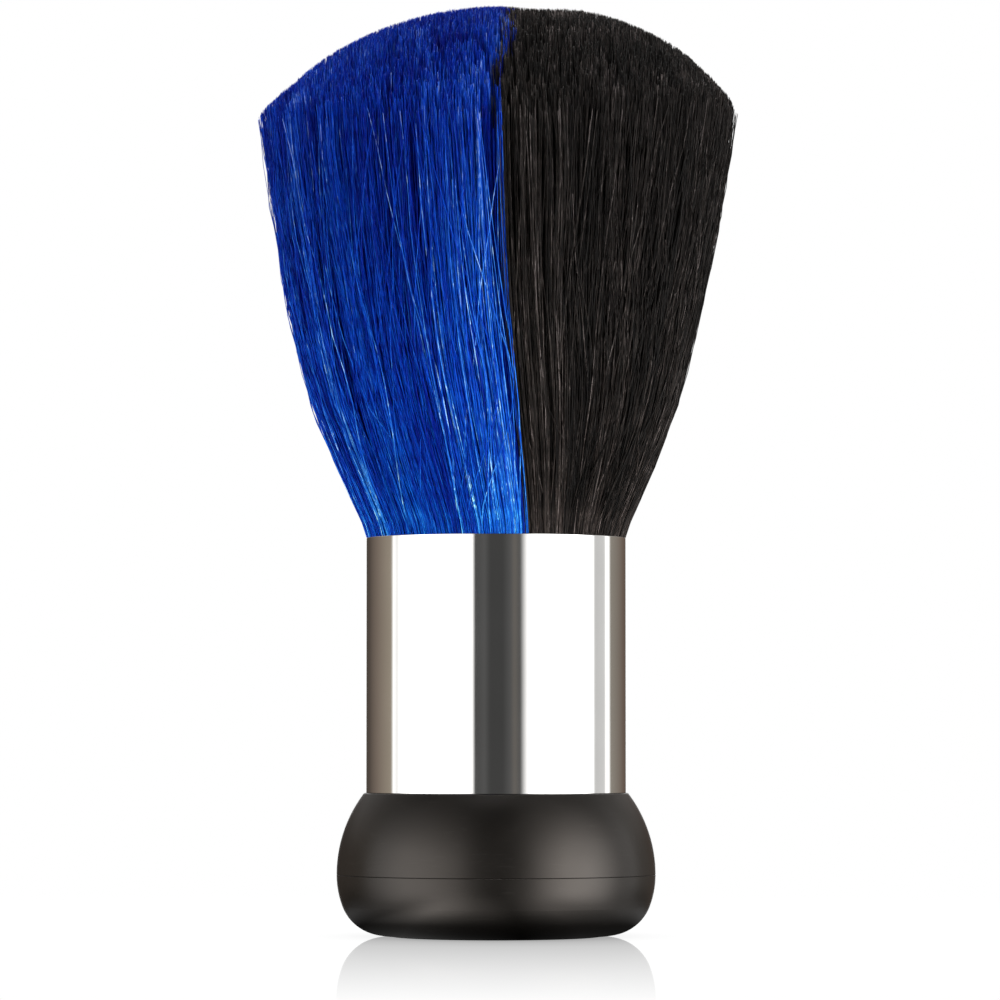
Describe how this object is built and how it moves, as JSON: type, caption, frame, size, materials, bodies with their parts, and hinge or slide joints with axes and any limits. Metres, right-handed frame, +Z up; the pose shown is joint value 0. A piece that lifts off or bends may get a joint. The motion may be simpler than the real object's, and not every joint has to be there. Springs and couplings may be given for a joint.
{
  "type": "neck duster brush",
  "caption": "Standing neck duster brush: a flared, dome-topped hair tuft, half blue and half black, in a bright metal ferrule on a rounded matt black base.",
  "frame": {"origin": "where the brush's axis meets the surface it stands on, at the centre of the foot pad's lower face", "axes": "+Z up along the axis of the brush to the top of the tuft; +X towards the black half of the tuft; -Y is the front"},
  "size_m": [0.0856, 0.0856, 0.1651],
  "materials": {
    "blue_hair": "soft dyed hair, fine strands with a low sheen",
    "black_hair": "soft black hair, fine strands with a low sheen",
    "ferrule_metal": "bright plated, mirror polish",
    "base_plastic": "fine satin black",
    "core_plastic": "natural moulded plastic",
    "pad_rubber": "fine-celled foam rubber",
    "weight_steel": "sawn and tumbled",
    "fastener_steel": "zinc plated",
    "set_resin": "set amber resin",
    "cord_fibre": "twisted waxed thread"
  },
  "bodies": {
    "root": {"foot_pad": "pad_rubber", "base_bottom_shell": "base_plastic", "base_top_shell": "base_plastic", "base_weight": "weight_steel", "screw_washer": "fastener_steel", "base_screw": "fastener_steel", "handle_core": "core_plastic", "ferrule": "ferrule_metal", "resin_plug": "set_resin", "binding_cord": "cord_fibre", "blue_bristles": "blue_hair", "black_bristles": "black_hair"}
  },
  "joints": []
}
